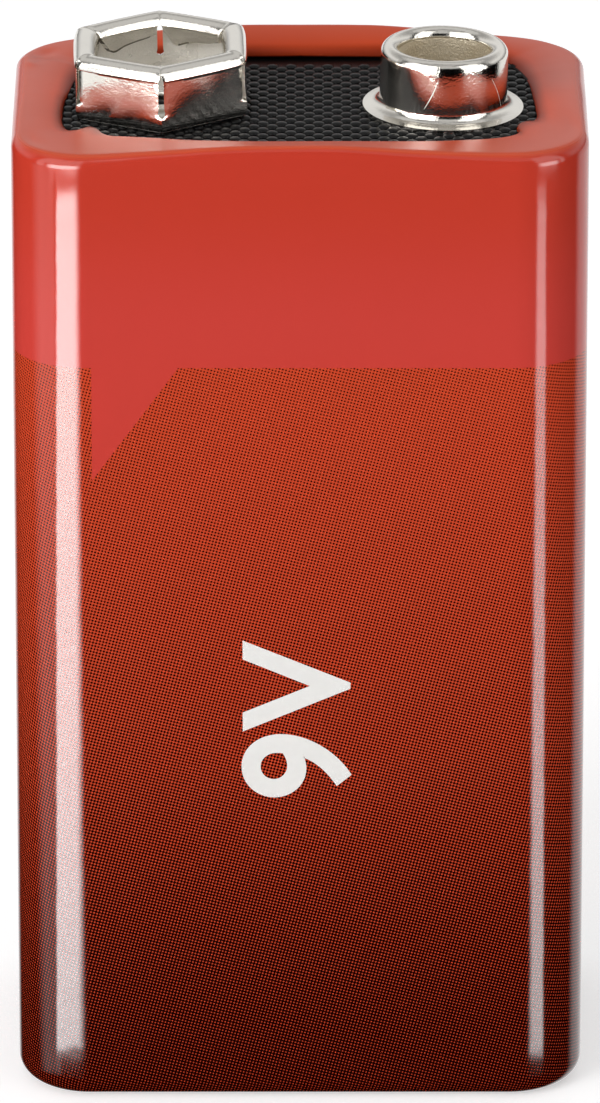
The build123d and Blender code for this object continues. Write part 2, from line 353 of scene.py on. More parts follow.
def speckled(name, colour, other, scale_mm, roughness, depth_mm, **values):
    """A finish of two close colours in soft patches, with a fine bump of the same size."""
    material, tree, shader = surface(name, Roughness=roughness, **values)
    patches = roughen(tree, shader, scale_mm, PATCH_DETAIL, PATCH_STRENGTH, depth_mm)
    colours = {0: patches, 6: linear(colour), 7: linear(other)}
    mix = add_node(tree, MIX, colours, data_type="RGBA")
    tree.links.new(mix.outputs[2], shader.inputs["Base Color"])
    return material


# Glossy film: flat ink under narrow, sharp highlights
film = printed_film()
# Plated sheet steel: a warm mirror. Inside the curled petals and in the stud's bore the plate is
# grained and duller, and lighter and less metallic as painted light. At the bottom of each curl its
# cut edge is dull and dark, with painted shadow.
nickel = bright_nickel("bright_nickel_plate", "#E0DCD4", 0.12, 0.12, 0.12)
# Lighter, less metallic copies of the plate, as painted light inside; the first also serves the
# stud's scratches.
scratch_and_painted_light_nickel = bright_nickel("grained_nickel_inside_painted_light_and_scratches", "#F6F2EA", 0.35, 0.1, 0.6, 0.4)
bore_nickel_painted_light = bright_nickel("grained_nickel_bore_painted_light", "#DDD2BC", 0.5, 0.1, 1.0, 0.8)
# The cut edge at the bottom of each curl: dull and dark, partly the sheet's edge and partly painted
# shadow under the curl.
curl_edge_shadow = speckled("cut_nickel_edge_painted_shadow", "#1E1A11", "#7A715A", 0.1, 0.35, 0.02)
# Formed and rolled parts of the inside: the same plate with a satin sheen
rivet_nickel = bright_nickel("satin_nickel_rivet", "#E0DCD4", 0.22, 0.1, 0.3)
strip_nickel = bright_nickel("rolled_nickel_strip", "#D6CFC3", 0.28, 0.2, 0.3)
can_steel = bright_nickel("plated_can_steel", "#D6CFC3", 0.25, 0.4, 0.2)
jacket_steel = bright_nickel("tinned_jacket_steel", "#D6CFC3", 0.3, 0.4, 0.3)
# Moulded plastic: nearly black with a small glint on each bump, or a dull grey
black_board = speckled("moulded_black_polystyrene", "#050505", "#0B0B0B", 0.25, 0.3, 0.006, IOR=1.3)
grey_board = speckled("moulded_grey_polypropylene", "#6F6E6B", "#7C7B78", 0.5, 0.5, 0.01)
# Card and paper: matt and mottled with fibres
fibre = speckled("pressed_fibre_card", "#8F7F63", "#A49478", 0.15, 0.85, 0.02)
kraft = speckled("brown_kraft_paper", "#8A6A45", "#9B7A54", 0.2, 0.9, 0.02)
# Opaque ink: an even white with the gloss of the film
white_ink = speckled("white_screen_ink", "#F2F1EE", "#ECEBE8", 0.3, 0.25, 0.002)

# Finish of each node, by the first of these that its name holds
FINISHES = [
    ("sleeve", film), ("jacket", jacket_steel), ("_terminal", nickel), ("_rivet", rivet_nickel),
    ("_lead", strip_nickel), ("_link", strip_nickel), ("_card", fibre), ("_liner", kraft),
    ("top_board", black_board), ("bottom_board", grey_board), ("cell_", can_steel),
]
for label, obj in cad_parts.items():
    obj.material_slots[0].material = next(finish for part, finish in FINISHES if part in label)


# Mesh helpers


def rounded_line(corners, radii, steps, arc_steps):
    """Points along a line through corners, with an arc of its radius at each inner one.
    steps and arc_steps are the numbers of pieces of each run and each arc."""
    corners = [np.array(c, float) for c in corners]
    points = []
    start = corners[0]
    for i, radius in enumerate(radii, start=1):
        back, ahead = corners[i - 1] - corners[i], corners[i + 1] - corners[i]
        back, ahead = back / np.linalg.norm(back), ahead / np.linalg.norm(ahead)
        half = math.acos(np.clip(back @ ahead, -1, 1)) / 2
        middle = (back + ahead) / np.linalg.norm(back + ahead)
        centre = corners[i] + middle * radius / math.sin(half)
        first = corners[i] + back * radius / math.tan(half)
        last = corners[i] + ahead * radius / math.tan(half)
        run, arc = steps[i - 1], arc_steps[i - 1]
        points += [start + (first - start) * k / run for k in range(run)]
        spread = math.pi - 2 * half
        for t in np.arange(arc) / arc:
            leaving = (first - centre) * math.sin((1 - t) * spread)
            arriving = (last - centre) * math.sin(t * spread)
            points.append(centre + (leaving + arriving) / math.sin(spread))
        start = last
    points += [start + (corners[-1] - start) * k / steps[-1] for k in range(steps[-1] + 1)]
    return np.array(points)


def quads(rows, columns, start=0, around=False, closed=False, flip=False):
    """Faces of a grid of points, numbered row by row from start. around joins the ends of
    each row, closed joins the last row to the first, and flip turns the faces over."""
    faces = []
    for row in range(rows if closed else rows - 1):
        here = start + row * columns
        ahead = start + (row + 1) % rows * columns
        for column in range(columns if around else columns - 1):
            beside = (column + 1) % columns
            face = (here + column, here + beside, ahead + beside, ahead + column)
            faces.append((face[0], *face[:0:-1]) if flip else face)
    return faces


def new_piece(name, points_mm, faces, finish, sharp_angle=35.0):
    """A smooth-shaded mesh object from points in millimetres, with its sharp edges marked."""
    mesh = bpy.data.meshes.new(name)
    mesh.from_pydata([tuple(p) for p in np.asarray(points_mm) * MM], [], faces)
    mesh.materials.append(finish)
    mesh.shade_smooth()
    mesh.set_sharp_from_angle(angle=math.radians(sharp_angle))
    mesh.validate()
    return add_object(name, mesh)


def closed_rings(name, rings, finish, sharp_angle=35.0):
    """A closed tube of rings: rings is an array of ring, point and coordinate, and both
    the rings and the points of a ring run round to their start."""
    faces = quads(*rings.shape[:2], around=True, closed=True, flip=True)
    return new_piece(name, rings.reshape(-1, 3), faces, finish, sharp_angle)


def move_points(mesh, move):
    """Puts the points of a mesh where move sends them, in millimetres."""
    points = np.zeros(len(mesh.vertices) * 3)
    mesh.vertices.foreach_get("co", points)
    moved = move(points.reshape(-1, 3) / MM)
    mesh.vertices.foreach_set("co", (moved * MM).ravel())


def evaluated_mesh(item):
    """A new mesh of an object with its modifiers, or of a curve."""
    graph = bpy.context.evaluated_depsgraph_get()
    return bpy.data.meshes.new_from_object(item.evaluated_get(graph))


def placed(piece, slot, *nodes):
    """The piece rides on the only body, and the nodes that it stands for are hidden; its slot is
    not used.
    """
    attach(piece, ROOT)
    if nodes:
        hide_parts(*nodes)


# Sleeve and jacket: one rolled section led round the rounded rectangle of the body. The
# lip sinks and widens at the corners, and its inner edge has the folds of shrunk film.
CORNER_RADIUS = 3.3
FOOT_RADIUS = 1.05
NOSE_RADIUS = 0.43
FILM_THICKNESS = 0.12
JACKET_THICKNESS = 0.25
FILM_FOOT_WIDTH = 2.4
JACKET_FOOT_WIDTH = 1.9
INNER_EDGE_Z = BOARD_Z + 0.47

STRAIGHT_X = HALF_LENGTH - CORNER_RADIUS
STRAIGHT_Y = HALF_WIDTH - CORNER_RADIUS
ARC = CORNER_RADIUS * math.pi / 2
PERIMETER = 4 * (STRAIGHT_X + STRAIGHT_Y + ARC)
FRONT_CORNER = STRAIGHT_X + ARC / 2
SIDE_MIDDLE = STRAIGHT_X + ARC + STRAIGHT_Y
BACK_CORNER = STRAIGHT_X + 1.5 * ARC + 2 * STRAIGHT_Y


def both_ways(table):
    """A table for the way round to the right, with its mirror image for the left."""
    return [(-place, value) for place, value in table[:0:-1]] + table


# How far the crest of the rim lies under the top of the box, by the distance round from
# the middle of the front, negative to the left.
CREST_FALL = [
    (-PERIMETER / 2, -0.05), (-36.6, -0.03), (-33.0, 0.22), (-30.5, 0.5), (-29.3, 0.57),
    (-28.2, 0.588), (-27.0, 0.588), (-26.1, 0.56), (-25.2, 0.5), (-SIDE_MIDDLE, 0.47),
    (-FRONT_CORNER, 0.52), (-9.7, 0.5), (-6.6, 0.33), (-2.0, 0.06), (1.0, 0.04), (5.5, 0.28),
    (8.9, 0.4), (FRONT_CORNER, 0.4), (SIDE_MIDDLE, 0.36), (23.5, 0.5), (25.0, 0.55),
    (26.4, 0.575), (27.6, 0.578), (28.5, 0.555), (29.5, 0.52), (30.3, 0.465), (33.5, 0.16),
    (36.6, -0.03), (PERIMETER / 2, -0.05),
]

# Radius of the outer shoulder under the crest
SHOULDER = both_ways([
    (0.0, 0.34), (6.6, 0.42), (FRONT_CORNER, 0.6), (SIDE_MIDDLE, 0.6), (BACK_CORNER, 0.6),
    (PERIMETER / 2, 0.4),
])

# Share by which the lip rounds down to the board like a funnel, instead of lying straight
FUNNEL = both_ways([
    (0.0, 0.0), (6.6, 0.1), (FRONT_CORNER - 1.5, 0.4), (FRONT_CORNER + 1.5, 0.75),
    (SIDE_MIDDLE, 0.85), (BACK_CORNER, 0.8), (BACK_CORNER + 2.0, 0.5), (PERIMETER / 2, 0.3),
])

# Inner edge of the lip: distance round, then x and y on the plan. Near the front corners
# the shrunk film has folded over it.
INNER_EDGE = [
    (-PERIMETER / 2, 0.0, 6.4), (-31.5, -7.2, 6.36), (-29.6, -8.4, 6.08), (-27.9, -9.1, 5.55),
    (-26.4, -9.5, 4.9), (-24.6, -9.85, 3.9), (-22.5, -10.15, 2.6), (-20.5, -10.35, 1.0),
    (-18.6, -10.5, -0.2), (-16.6, -10.55, -1.6), (-15.2, -10.5, -2.8), (-14.2, -10.35, -3.6),
    (-13.4, -10.0, -4.0), (-12.5, -9.6, -3.85), (-11.6, -9.22, -3.5), (-10.8, -8.98, -3.75),
    (-9.9, -8.68, -4.55), (-9.0, -8.35, -4.95), (-7.9, -7.7, -5.15), (-6.6, -6.6, -5.4),
    (-4.4, -4.4, -5.9), (-1.5, -1.5, -6.12), (0.0, 0.0, -6.12), (3.0, 3.0, -6.06),
    (5.9, 5.9, -5.9), (7.6, 7.5, -5.65), (8.9, 8.8, -5.3), (9.8, 9.45, -4.85),
    (10.6, 9.68, -4.35), (11.4, 9.6, -3.8), (12.1, 9.66, -3.15), (12.8, 9.9, -2.75),
    (13.6, 10.25, -2.65), (14.4, 10.45, -2.3), (15.2, 10.52, -1.8), (17.0, 10.48, -0.8),
    (20.0, 10.38, 0.6), (22.5, 10.25, 2.4), (24.6, 9.95, 3.85), (26.4, 9.6, 4.85),
    (27.9, 9.2, 5.55), (29.6, 8.5, 6.08), (31.5, 7.2, 6.36), (PERIMETER / 2, 0.0, 6.4),
]

# Pieces of the section on each run, from the foot to the inner edge, and on each arc
RUN_STEPS = [3, 26, 14, 2]
ARC_STEPS = [8, 12, 8]
LEAST_RISE = 0.02
BOWL_POWER = 2.2
# The lip's dull look and the painted light in its red start at this share of the shoulder and are
# full after the second share more. FRONT_DULLING is how much duller the film is along the front.
LIP_START = 0.2
LIP_SPAN = 0.5
FRONT_DULLING = 0.9
# Where across the lip its hem of painted shade starts, the funnel share with a full hem, and the
# height over the board up to which the film's cut edge is painted black as shadow
HEM_START = 0.12
HEM_FUNNEL = 0.375
EDGE_SHADE_HEIGHT = 0.16

# Dents of the film in the lip: distance round, depth under the face, the two half sizes
# and how deep it is.
DENTS = [
    (-26.2, 1.15, 1.0, 0.4, 0.1), (-24.4, 0.7, 0.5, 0.3, -0.05),
    (-13.2, 0.9, 1.2, 0.35, 0.05), (14.6, 1.2, 1.6, 0.5, 0.04),
]


def smooth(at, table):
    """Values of a table of places at each place, on a curve that never overshoots."""
    places = np.array([row[0] for row in table])
    values = np.array([row[1] for row in table])
    at = np.asarray(at)
    gaps = np.diff(places)
    rises = np.diff(values) / gaps
    slopes = np.zeros(len(places))
    for k in range(1, len(places) - 1):
        if rises[k - 1] * rises[k] > 0:
            slopes[k] = 2 * rises[k - 1] * rises[k] / (rises[k - 1] + rises[k])
    i = np.clip(np.searchsorted(places, at) - 1, 0, len(places) - 2)
    t = np.clip((at - places[i]) / gaps[i], 0, 1)
    leaving = values[i] * (1 + 2 * t) + slopes[i] * gaps[i] * t
    arriving = values[i + 1] * (3 - 2 * t) - slopes[i + 1] * gaps[i] * (1 - t)
    return leaving * (1 - t) ** 2 + arriving * t**2


def walk_round(count):
    """Distance round, centre point and outward direction of evenly spaced places, from
    the middle of the back past the left side to the front and on."""
    distance = np.linspace(-PERIMETER / 2, PERIMETER / 2, count, endpoint=False)
    side = np.where(distance >= 0, 1, -1)
    u = abs(distance)
    front = np.clip((u - STRAIGHT_X) / CORNER_RADIUS, 0, math.pi / 2)
    back = np.clip((u - STRAIGHT_X - 2 * STRAIGHT_Y - ARC) / CORNER_RADIUS, 0, math.pi / 2)
    x = np.minimum(np.minimum(u, STRAIGHT_X), PERIMETER / 2 - u)
    y = np.clip(u - STRAIGHT_X - ARC, 0, 2 * STRAIGHT_Y) - STRAIGHT_Y
    directions = np.column_stack([side * np.sin(front + back), -np.cos(front + back)])
    return distance, np.column_stack([side * x, y]), directions


def rolled_shell(name, count, near, far, foot_width, finish):
    """The rolled wall between two depths under the printed face, the distance round of its
    rings, and how much each point belongs to the lip and to the lip's hem."""
    distance, centres, directions = walk_round(count)
    edge = np.column_stack(
        [smooth(distance, [(row[0], row[axis]) for row in INNER_EDGE]) for axis in (1, 2)]
    )
    fall = smooth(distance, CREST_FALL)
    shoulders = smooth(distance, SHOULDER)
    funnels = smooth(distance, FUNNEL)
    wall = centres + directions * CORNER_RADIUS
    inward = edge - wall
    width = np.linalg.norm(inward, axis=1)
    inward = inward / width[:, None]
    rings, lip_shares, hem_shares = [], [], []
    for k in range(count):
        crest = RIM_Z - fall[k]
        shoulder = shoulders[k]
        rise = math.atan2(max(crest - INNER_EDGE_Z, LEAST_RISE), width[k] - shoulder)
        slant = math.tan(rise) + 1 / math.cos(rise)
        apex = crest + shoulder * (slant - 1)
        dull = 1 + FRONT_DULLING * math.exp(-((distance[k] / STRAIGHT_X) ** 4))
        ring, shares, hems = [], [], []
        for inset, way in ((near, 1), (far, -1)):
            lip_end = width[k] - inset
            corners = [
                (foot_width, inset),
                (inset, inset),
                (inset, apex - inset * slant),
                (lip_end, apex - lip_end * math.tan(rise) - inset / math.cos(rise)),
                (lip_end, BOARD_Z),
            ]
            radii = [FOOT_RADIUS - inset, shoulder - inset, NOSE_RADIUS - inset]
            line = rounded_line(corners, radii, RUN_STEPS, ARC_STEPS)
            depth, height = line[:, 0], line[:, 1]
            lip = (height > BOARD_Z - 0.01) & (depth > inset + 0.001)
            across = np.clip((depth - shoulder) / (width[k] - shoulder), 0, 1)
            bowl = BOARD_Z + (crest - BOARD_Z) * np.sqrt(1 - across**BOWL_POWER) - inset
            share = funnels[k] * lip * (across > 0)
            height = height * (1 - share) + np.maximum(bowl, BOARD_Z) * share
            for place, middle, reach, spread, deep in DENTS:
                near_dent = ((distance[k] - place) / reach) ** 2 + ((depth - middle) / spread) ** 2
                height = height - deep * np.exp(-near_dent) * lip
            upper = np.where(lip[:, None], inward[k], -directions[k])
            plan = wall[k] + upper * depth[:, None]
            ring.append(np.column_stack([plan, height])[::way])
            gathered_and_painted_light = np.clip(depth / shoulder - LIP_START, 0, LIP_SPAN) / LIP_SPAN
            shares.append((gathered_and_painted_light * lip * dull)[::way])
            hem = np.clip((across - HEM_START) / (1 - HEM_START), 0, 1)
            hem = hem * lip * min(funnels[k] / HEM_FUNNEL, 1)
            # The film's cut edge next to the board takes its own mark, to be painted black as
            # shadow.
            edge_shadow = lip & (depth > shoulder) & (height < BOARD_Z + EDGE_SHADE_HEIGHT)
            hems.append(np.where(edge_shadow, SHADOW_EDGE_MARK, hem)[::way])
        rings.append(np.concatenate(ring))
        lip_shares.append(np.concatenate(shares))
        hem_shares.append(np.concatenate(hems))
    piece = closed_rings(name, np.array(rings), finish)
    return piece, distance, {"lip": np.array(lip_shares), "hem": np.array(hem_shares)}


def print_map(piece, distance):
    """Unrolls the sleeve: u is the distance round, v the height, both in hundreds of mm."""
    mesh = piece.data
    per_ring = len(mesh.vertices) // len(distance)
    layer = mesh.uv_layers.new(name="print")
    corners = np.array([loop.vertex_index for loop in mesh.loops]).reshape(-1, 4)
    rings = corners // per_ring
    over_seam = (np.ptp(rings, axis=1) > 1)[:, None] & (rings == 0)
    across = distance[rings] + PERIMETER * over_seam
    height = np.array([vertex.co.z for vertex in mesh.vertices])[corners] / MM
    spots = np.stack([across, height], axis=-1) / UV_UNIT
    layer.data.foreach_set("uv", spots.ravel())


sleeve_shell, sleeve_walk, sleeve_shares = rolled_shell(
    "sleeve_film", 560, 0.0, FILM_THICKNESS, FILM_FOOT_WIDTH, film
)
print_map(sleeve_shell, sleeve_walk)
for share_name, share_values in sleeve_shares.items():
    share_layer = sleeve_shell.data.attributes.new(share_name, "FLOAT", "POINT")
    share_layer.data.foreach_set("value", share_values.ravel())
placed(sleeve_shell, "printed_film", "sleeve")

jacket_depths = (FILM_THICKNESS, FILM_THICKNESS + JACKET_THICKNESS)
jacket_shell = rolled_shell("jacket_can", 240, *jacket_depths, JACKET_FOOT_WIDTH, jacket_steel)[0]
placed(jacket_shell, "jacket_steel", "jacket")


# Grain of the top board: low round bumps in staggered rows, made by geometry nodes.
GRAIN_PITCH = 0.585
GRAIN_WIDTH = 0.6
GRAIN_HEIGHT = 0.13
GRAIN_MIDDLE_Y = -0.5
GRAIN_LENGTH = 21.4
GRAIN_BREADTH = 11.7
GRAIN_TURN = 45
ROUNDING_ANGLE = 50


def geometry_tree(name, sizes):
    """A geometry node tree with named number inputs and one geometry output."""
    tree = bpy.data.node_groups.new(name, "GeometryNodeTree")
    tree.interface.new_socket("Geometry", in_out="INPUT", socket_type="NodeSocketGeometry")
    for label, value in sizes.items():
        kind = "NodeSocketInt" if isinstance(value, int) else "NodeSocketFloat"
        socket = tree.interface.new_socket(label, in_out="INPUT", socket_type=kind)
        socket.default_value = value
    tree.interface.new_socket("Geometry", in_out="OUTPUT", socket_type="NodeSocketGeometry")
    return tree, add_node(tree, "NodeGroupInput")


def end_tree(tree, geometry, finish):
    """Ends a geometry tree with its finish, smooth shading and the output."""
    dressed = add_node(tree, "GeometryNodeSetMaterial", {"Geometry": geometry, "Material": finish})
    smoothed = add_node(tree, "GeometryNodeSetShadeSmooth", {"Geometry": dressed})
    add_node(tree, "NodeGroupOutput", {0: smoothed})
    return tree


def made_by(tree, name, sizes, base=None, rounding=0):
    """Runs a geometry tree with these sizes, rounds its sharp edges by a width in
    millimetres, and keeps the result as a plain mesh."""
    piece = add_object(name, base or bpy.data.meshes.new(name))
    modifier = piece.modifiers.new(name, "NODES")
    modifier.node_group = tree
    for item in tree.interface.items_tree:
        if item.in_out == "INPUT" and item.name in sizes:
            modifier[item.identifier] = sizes[item.name]
    if rounding:
        bevel = piece.modifiers.new("rounding", "BEVEL")
        bevel.width = rounding * MM
        bevel.segments = 2
        bevel.limit_method = "ANGLE"
        bevel.angle_limit = math.radians(ROUNDING_ANGLE)
    mesh = evaluated_mesh(piece)
    piece.modifiers.clear()
    piece.data = mesh
    return piece


def grain_tree(sizes):
    """Bumps on a square grid turned by GRAIN_TURN, cut to a rectangle."""
    tree, group = geometry_tree("board_grain", sizes)
    reach = int(GRAIN_LENGTH / GRAIN_PITCH) + 4
    pitches = {0: group.outputs["Pitch"], 1: float(reach - 1)}
    span = add_node(tree, MATH, pitches, operation="MULTIPLY")
    grid = add_node(
        tree,
        "GeometryNodeMeshGrid",
        {"Size X": span, "Size Y": span, "Vertices X": reach, "Vertices Y": reach},
    )
    turned = add_node(
        tree,
        "GeometryNodeTransform",
        {"Geometry": grid, "Rotation": (0, 0, math.radians(GRAIN_TURN))},
    )
    place = add_node(tree, "GeometryNodeInputPosition")
    axes = add_node(tree, AXES, {0: place})
    beyond = []
    for axis, label in ((0, "Length"), (1, "Breadth")):
        far = add_node(tree, MATH, {0: axes.outputs[axis]}, operation="ABSOLUTE")
        halves = {0: group.outputs[label], 1: 0.5}
        half = add_node(tree, MATH, halves, operation="MULTIPLY")
        beyond.append(add_node(tree, MATH, {0: far, 1: half}, operation="GREATER_THAN"))
    outside = add_node(tree, MATH, {0: beyond[0], 1: beyond[1]}, operation="MAXIMUM")
    kept = add_node(
        tree,
        "GeometryNodeDeleteGeometry",
        {"Geometry": turned, "Selection": outside},
        domain="POINT",
    )
    ball = add_node(tree, "GeometryNodeMeshIcoSphere", {"Radius": 0.5, "Subdivisions": 2})
    width, height = group.outputs["Width"], group.outputs["Height"]
    size = add_node(tree, "ShaderNodeCombineXYZ", {0: width, 1: width, 2: height})
    bumps = add_node(
        tree, "GeometryNodeInstanceOnPoints", {"Points": kept, "Instance": ball, "Scale": size}
    )
    lifted = add_node(
        tree,
        "GeometryNodeTransform",
        {"Geometry": bumps, "Translation": (0, GRAIN_MIDDLE_Y * MM, BOARD_Z * MM)},
    )
    real = add_node(tree, "GeometryNodeRealizeInstances", {0: lifted})
    return end_tree(tree, real, black_board)


grain_sizes = {
    "Pitch": GRAIN_PITCH * MM,
    "Width": GRAIN_WIDTH * MM,
    "Height": 2 * GRAIN_HEIGHT * MM,
    "Length": GRAIN_LENGTH * MM,
    "Breadth": GRAIN_BREADTH * MM,
}
grain = made_by(grain_tree(grain_sizes), "board_grain", grain_sizes)
placed(grain, "black_board")


# Print on the front: a plain size mark in the place of the printed words, turned to read
# upwards. MARK_CAPITALS is the height of the font's capitals as a share of its size, and
# MARK_WEIGHT is how much the letters are fattened.
MARK_TEXT = "9V"
MARK_HEIGHT = 4.8
MARK_CAPITALS = 0.72
MARK_WEIGHT = 0.12
MARK_SPACING = 1.05
MARK_MIDDLE_Z = 18.5
MARK_ACROSS = 0.1
MARK_THICKNESS = 0.01


def stood_up(flat):
    """Points of the flat lettering, turned to read upwards on the front."""
    return np.column_stack(
        [MARK_ACROSS - flat[:, 1], -HALF_WIDTH - flat[:, 2], MARK_MIDDLE_Z + flat[:, 0]]
    )


def printed_mark():
    """White lettering as a thin layer of ink on the front."""
    curve = bpy.data.curves.new("size_mark", "FONT")
    curve.body = MARK_TEXT
    curve.size = MARK_HEIGHT / MARK_CAPITALS * MM
    curve.align_x = "CENTER"
    curve.align_y = "CENTER"
    curve.space_character = MARK_SPACING
    curve.extrude = MARK_THICKNESS / 2 * MM
    curve.offset = MARK_WEIGHT * MM
    source = add_object("size_mark", curve)
    mesh = evaluated_mesh(source)
    bpy.data.objects.remove(source)
    move_points(mesh, stood_up)
    mesh.materials.clear()
    mesh.materials.append(white_ink)
    return add_object("size_mark", mesh)


placed(printed_mark(), "printed_film")


# Snap terminals, pressed from one sheet each. Sections are given as distance from the
# terminal's axis and height over the board. Each terminal stands a little off its ideal
# place and a little tilted: by its TILT to the right, and by its PITCH to the front.
SHEET = 0.2
RIVET_HOLE = 1.1
HOLE_BEND = 0.2
STUD_RADIUS = 2.85
STUD_FLANGE_RADIUS = float(stud_high[0] - stud_low[0]) / 2
STUD_FOLD_WIDTH = 0.4
STUD_FOLD_HEIGHT = 0.43
STUD_BASE_BEND = 0.42
STUD_FLANGE_RISE = 0.1
STUD_SEGMENTS = 144
STUD_TILT = 1.3
STUD_SHIFT = (0.03, -0.48)
STUD_LIFT = 0.03
STUD_PLACE = (STUD_X + STUD_SHIFT[0], STUD_SHIFT[1], BOARD_Z + STUD_LIFT)
FOLD_Z = TERMINAL_HEIGHT - STUD_FOLD_HEIGHT
BORE = STUD_RADIUS - 2 * STUD_FOLD_WIDTH
PETALS = 6
HALF_PETAL = math.pi / PETALS
SOCKET_SIDE = float(socket_high[0] - socket_low[0]) / 2
SOCKET_BEND = 0.5
SOCKET_TURN = 1.0
SOCKET_TILT = -1.1
SOCKET_PITCH = 0.6
SOCKET_SHIFT = (0.16, 0.0)
SOCKET_LIFT = 0.09
SOCKET_PLACE = (SOCKET_X + SOCKET_SHIFT[0], SOCKET_SHIFT[1], BOARD_Z + SOCKET_LIFT)
# Each petal curls into a bead at its top, which stands a small step out from the panel
# and starts a little under its own middle height. The slit beside the petal has a round
# eye low down and closes over CLOSING_ROWS rows of the bead to its narrow gap, and opens
# again over OPENING_ROWS rows before the inner leg.
BEAD_RADIUS = 0.54
BEAD_START = -6.0
BEAD_Z = TERMINAL_HEIGHT - BEAD_RADIUS
PANEL_STEP = 0.05
PANEL_LEAN = 0.02
PANEL_BULGE = 0.07
SLIT_EYE_RADIUS = 0.19
SLIT_EYE_Z = 1.02
SLIT_HALF = 0.16
BEAD_GAP_HALF = 0.035
CLOSING_ROWS = 6
OPENING_ROWS = 8
EDGE_ROUNDING = 0.03
WELD = 0.003
# The slits start this far out on the floor, which is round at the hole and has turned
# into straight sides ROUND_SPAN further out.
SLIT_START = 3.0
ROUND_SPAN = 1.1
# How far the inner leg of a petal's curl hangs down, by the angle along the petal
CURL_LEG = [
    (-30.0, 0.3), (-22.0, 0.42), (-8.0, 0.5), (5.0, 0.6), (17.0, 0.78), (21.0, 0.7),
    (26.0, 0.35), (30.0, 0.05),
]
LEG_OUT = SOCKET_SIDE - 2 * BEAD_RADIUS
LEG_ROWS = 8
# Bounds of the faces with another finish, which carries painted light inside and painted shadow on
# the leg's cut edge: out from the bore's wall and from the leg, in from the panel's outer face,
# over and under the leg's cut edge, and up from the board
BORE_SKIN = 0.06
LEG_SKIN = 0.3
PANEL_SKIN = 0.21
FLOOR_INSET = 0.3
CURL_SHADOW_BAND = 0.09
UNDER_CURL = 0.05
FLOOR_BAND = 1.0


def arc_points(centre, half_width, half_height, first, last, count):
    """Points of an elliptic arc between two angles in degrees."""
    angles = np.radians(np.linspace(first, last, count))
    return np.column_stack(
        [centre[0] + half_width * np.cos(angles), centre[1] + half_height * np.sin(angles)]
    )


def stud_line(inset):
    """Visible face of the stud, from the flange over the folded lip to the rivet hole."""
    outside = rounded_line(
        [
            (STUD_FLANGE_RADIUS, SHEET - inset),
            (STUD_RADIUS - inset, SHEET + STUD_FLANGE_RISE - inset),
            (STUD_RADIUS - inset, FOLD_Z),
        ],
        [STUD_BASE_BEND + inset],
        [5, 10],
        [10],
    )
    middle = (STUD_RADIUS - STUD_FOLD_WIDTH, FOLD_Z)
    fold = arc_points(middle, STUD_FOLD_WIDTH - inset, STUD_FOLD_HEIGHT - inset, 0, 180, 28)
    inside = rounded_line(
        [(BORE + inset, FOLD_Z), (BORE + inset, SHEET - inset), (RIVET_HOLE, SHEET - inset)],
        [HOLE_BEND + inset],
        [10, 6],
        [6],
    )
    return np.concatenate([outside, fold[1:-1], inside])


def lathe(section, segments):
    """Rings of a closed section turned round the vertical axis."""
    out, height = section[:, 0], section[:, 1]
    turns = [2 * math.pi * k / segments for k in range(segments)]
    return np.array(
        [np.column_stack([out * math.cos(t), out * math.sin(t), height]) for t in turns]
    )


def tilted(points, tilt, turn, place, pitch=0):
    """Points turned about the vertical, tilted about Y, pitched about X and put on the
    board at a place."""
    t, r = math.radians(tilt), math.radians(turn)
    about_z = np.array([[math.cos(r), -math.sin(r), 0], [math.sin(r), math.cos(r), 0], [0, 0, 1]])
    about_y = np.array([[math.cos(t), 0, math.sin(t)], [0, 1, 0], [-math.sin(t), 0, math.cos(t)]])
    across, up = math.cos(math.radians(pitch)), math.sin(math.radians(pitch))
    about_x = np.array([[1, 0, 0], [0, across, -up], [0, up, across]])
    return points @ (about_x @ about_y @ about_z).T + np.array(place)


def refinish(piece, finish, chosen):
    """Gives another finish to the faces whose middle, in millimetres, is chosen."""
    piece.data.materials.append(finish)
    for polygon in piece.data.polygons:
        if chosen(np.array(polygon.center) / MM):
            polygon.material_index = len(piece.data.materials) - 1


stud_section = np.concatenate([stud_line(0.0), stud_line(SHEET)[::-1]])
stud_rings = tilted(lathe(stud_section, STUD_SEGMENTS), STUD_TILT, 0, STUD_PLACE)
stud = closed_rings("snap_stud", stud_rings, nickel, 50.0)


def in_bore(middle):
    """Whether a point is on the inside of the stud's bore or on its floor."""
    out = math.hypot(middle[0] - STUD_PLACE[0], middle[1] - STUD_PLACE[1])
    return out < BORE + BORE_SKIN and middle[2] - STUD_PLACE[2] < FOLD_Z


# The bore takes a lighter, less metallic copy of the plate: painted light.
refinish(stud, bore_nickel_painted_light, in_bore)
placed(stud, "bright_nickel", "positive_terminal")


# Scratches on the stud's wall: azimuth from the front and height over the board at each
# end. Each bends by SCRATCH_BEND degrees and stands proud by a share of its half width.
SCRATCHES = [((-5.8, 2.3), (-18.6, 0.85)), ((47.4, 2.1), (64.0, 0.55))]
SCRATCH_HALF = 0.022
SCRATCH_ROOT = 0.05
SCRATCH_BEND = 1.2
SCRATCH_PROUD = 0.35
SCRATCH_STEPS = 24


